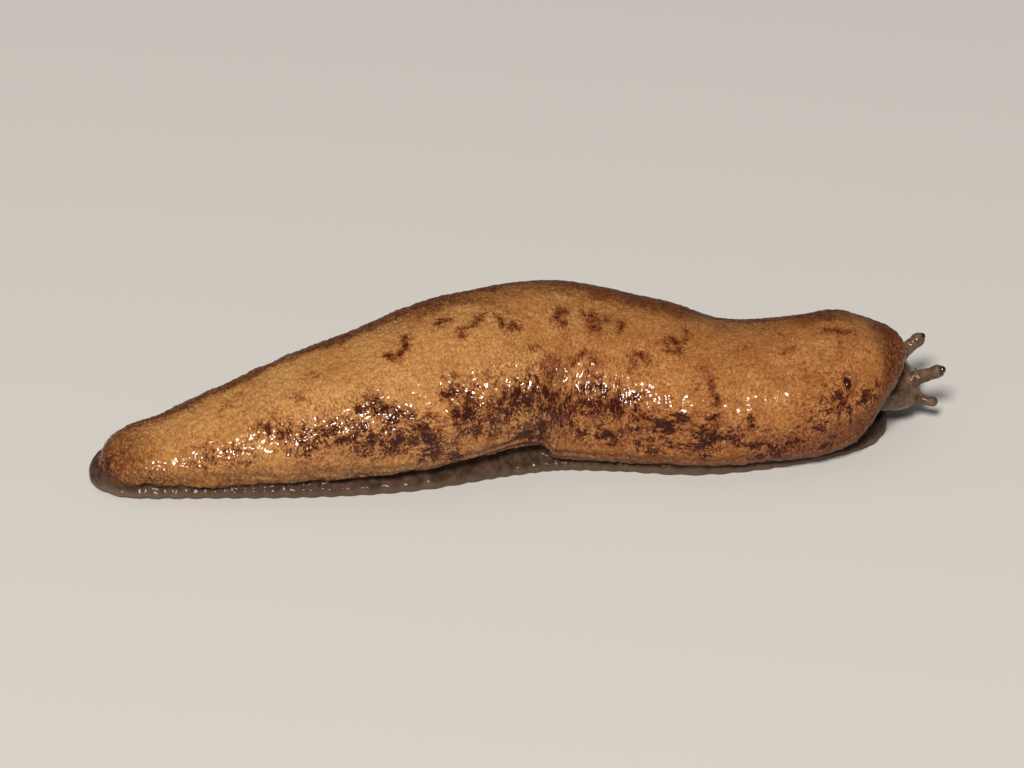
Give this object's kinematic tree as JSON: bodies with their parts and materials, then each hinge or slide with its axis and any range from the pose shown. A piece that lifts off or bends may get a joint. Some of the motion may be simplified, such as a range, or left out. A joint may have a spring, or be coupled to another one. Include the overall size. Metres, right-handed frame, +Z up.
{
  "type": "virginia mantleslug",
  "caption": "Life-size still model of a mantleslug at rest, its bent body under a blotched mantle, the head drawn back under the front rim.",
  "frame": {"origin": "centre of the bounding box at floor level, under the middle of the body", "axes": "+X towards the head, -Y the slug's right side with the breathing pore, +Z up"},
  "size_m": [0.0586, 0.0168, 0.0101],
  "materials": {
    "mantle": "moist, finely grained skin, tan with dark brown blotches and a mottled band on each flank",
    "foot": "moist grey-brown skin, furrowed along the fringe",
    "head": "moist grey-brown skin",
    "eye": "glossy"
  },
  "bodies": {
    "root": {"mantle_tail": "mantle", "mantle_rear": "mantle", "mantle_middle": "mantle", "mantle_front": "mantle", "foot_tail": "foot", "foot_rear": "foot", "foot_middle": "foot", "foot_front": "foot", "neck": "head", "head": "head", "tentacle_upper_right": "head", "tentacle_upper_left": "head", "tentacle_lower_right": "head", "tentacle_lower_left": "head", "eye_right": "eye", "eye_left": "eye"}
  },
  "joints": []
}
